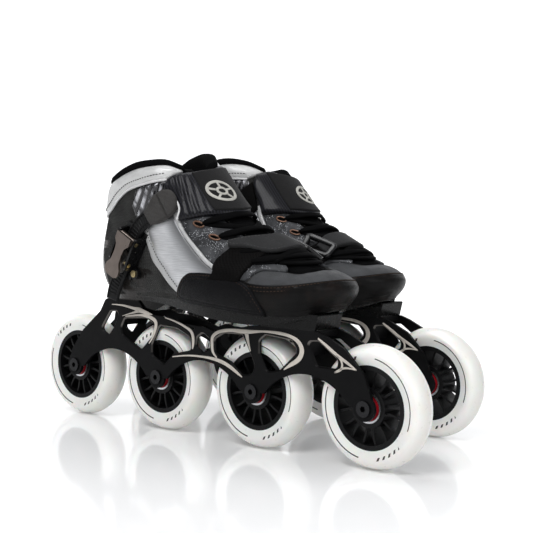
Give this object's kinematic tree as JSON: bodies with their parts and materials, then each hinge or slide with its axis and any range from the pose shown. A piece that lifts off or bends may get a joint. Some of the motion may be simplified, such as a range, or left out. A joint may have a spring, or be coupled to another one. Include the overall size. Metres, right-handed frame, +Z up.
{
  "type": "inline speed skates",
  "caption": "Pair of low-cut inline speed skates: moulded boot with laces, ratchet ankle strap and instep strap on an arched alloy frame with bolted in-line wheels.",
  "frame": {"origin": "centre of the pair's bounding box on the floor", "axes": "+X to the toes, +Y to the wearer's left, +Z up"},
  "size_m": [0.4362, 0.2242, 0.2245],
  "materials": {
    "frame": "matte black anodised",
    "axle": "black oxide",
    "bearing_steel": "ground",
    "bolt": "zinc plated",
    "shell": "moulded fibre composite, glossy",
    "upper": "metallic coated leather",
    "lining": "padded mesh",
    "tongue": "padded mesh",
    "lace": "flat woven",
    "eyelet": "copper plated",
    "ankle_strap": "coated, padded",
    "ladder_strap": "ribbed",
    "webbing": "woven webbing",
    "ring": "moulded",
    "buckle_base": "moulded",
    "pin": "plated",
    "lever": "brushed",
    "pawl": "moulded",
    "tyre": "cast polyurethane, satin",
    "hub": "moulded",
    "bearing_shield": "red shield"
  },
  "bodies": {
    "right_skate": {"right_frame": "frame", "right_axle_bolts": "axle", "right_bearing_inner_rings": "bearing_steel", "right_mounting_bolts": "bolt", "right_shell": "shell", "right_upper": "upper", "right_liner": "lining", "right_tongue": "tongue", "right_laces": "lace", "right_eyelets": "eyelet", "right_ankle_strap": "ankle_strap", "right_ladder_strap": "ladder_strap", "right_instep_strap": "webbing", "right_instep_ring": "ring", "right_buckle_base": "buckle_base", "right_buckle_pins": "pin"},
    "right_wheel_1": {"right_wheel_1_tyre": "tyre", "right_wheel_1_hub": "hub", "right_wheel_1_bearings": "bearing_shield"},
    "right_wheel_2": {"right_wheel_2_tyre": "tyre", "right_wheel_2_hub": "hub", "right_wheel_2_bearings": "bearing_shield"},
    "right_wheel_3": {"right_wheel_3_tyre": "tyre", "right_wheel_3_hub": "hub", "right_wheel_3_bearings": "bearing_shield"},
    "right_wheel_4": {"right_wheel_4_tyre": "tyre", "right_wheel_4_hub": "hub", "right_wheel_4_bearings": "bearing_shield"},
    "right_buckle_lever": {"right_buckle_lever": "lever"},
    "right_buckle_pawl": {"right_buckle_pawl": "pawl"},
    "left_skate": {"left_frame": "frame", "left_axle_bolts": "axle", "left_bearing_inner_rings": "bearing_steel", "left_mounting_bolts": "bolt", "left_shell": "shell", "left_upper": "upper", "left_liner": "lining", "left_tongue": "tongue", "left_laces": "lace", "left_eyelets": "eyelet", "left_ankle_strap": "ankle_strap", "left_ladder_strap": "ladder_strap", "left_instep_strap": "webbing", "left_instep_ring": "ring", "left_buckle_base": "buckle_base", "left_buckle_pins": "pin"},
    "left_wheel_1": {"left_wheel_1_tyre": "tyre", "left_wheel_1_hub": "hub", "left_wheel_1_bearings": "bearing_shield"},
    "left_wheel_2": {"left_wheel_2_tyre": "tyre", "left_wheel_2_hub": "hub", "left_wheel_2_bearings": "bearing_shield"},
    "left_wheel_3": {"left_wheel_3_tyre": "tyre", "left_wheel_3_hub": "hub", "left_wheel_3_bearings": "bearing_shield"},
    "left_wheel_4": {"left_wheel_4_tyre": "tyre", "left_wheel_4_hub": "hub", "left_wheel_4_bearings": "bearing_shield"},
    "left_buckle_lever": {"left_buckle_lever": "lever"},
    "left_buckle_pawl": {"left_buckle_pawl": "pawl"}
  },
  "joints": [
    {"name": "right_wheel_1_spin", "type": "hinge", "parent": "right_skate", "child": "right_wheel_1", "pos_m": [-0.1419, -0.0641, 0.045], "axis": [0, 1, 0], "continuous": true},
    {"name": "right_wheel_2_spin", "type": "hinge", "parent": "right_skate", "child": "right_wheel_2", "pos_m": [-0.0369, -0.0641, 0.045], "axis": [0, 1, 0], "continuous": true},
    {"name": "right_wheel_3_spin", "type": "hinge", "parent": "right_skate", "child": "right_wheel_3", "pos_m": [0.0681, -0.0641, 0.045], "axis": [0, 1, 0], "continuous": true},
    {"name": "right_wheel_4_spin", "type": "hinge", "parent": "right_skate", "child": "right_wheel_4", "pos_m": [0.1731, -0.0641, 0.045], "axis": [0, 1, 0], "continuous": true},
    {"name": "right_lever_turn", "type": "hinge", "parent": "right_skate", "child": "right_buckle_lever", "pos_m": [-0.04224, -0.1065, 0.15971], "axis": [-0.8829, 0, 0.4695], "range_deg": [0, 80]},
    {"name": "right_pawl_turn", "type": "hinge", "parent": "right_skate", "child": "right_buckle_pawl", "pos_m": [-0.05116, -0.1061, 0.14294], "axis": [0.8829, 0, -0.4695], "range_deg": [0, 12], "stiffness_Nm_per_rad": 0.03, "springref_deg": -8.59},
    {"name": "left_wheel_1_spin", "type": "hinge", "parent": "left_skate", "child": "left_wheel_1", "pos_m": [-0.1731, 0.0641, 0.045], "axis": [0, 1, 0], "continuous": true},
    {"name": "left_wheel_2_spin", "type": "hinge", "parent": "left_skate", "child": "left_wheel_2", "pos_m": [-0.0681, 0.0641, 0.045], "axis": [0, 1, 0], "continuous": true},
    {"name": "left_wheel_3_spin", "type": "hinge", "parent": "left_skate", "child": "left_wheel_3", "pos_m": [0.0369, 0.0641, 0.045], "axis": [0, 1, 0], "continuous": true},
    {"name": "left_wheel_4_spin", "type": "hinge", "parent": "left_skate", "child": "left_wheel_4", "pos_m": [0.1419, 0.0641, 0.045], "axis": [0, 1, 0], "continuous": true},
    {"name": "left_lever_turn", "type": "hinge", "parent": "left_skate", "child": "left_buckle_lever", "pos_m": [-0.07344, 0.1065, 0.15971], "axis": [0.8829, 0, -0.4695], "range_deg": [0, 80]},
    {"name": "left_pawl_turn", "type": "hinge", "parent": "left_skate", "child": "left_buckle_pawl", "pos_m": [-0.08236, 0.1061, 0.14294], "axis": [-0.8829, 0, 0.4695], "range_deg": [0, 12], "stiffness_Nm_per_rad": 0.03, "springref_deg": -8.59},
    {"name": "left_skate_glide", "type": "slide", "parent": "right_skate", "child": "left_skate", "axis": [1, 0, 0], "range_m": [-0.15, 0.15]}
  ]
}
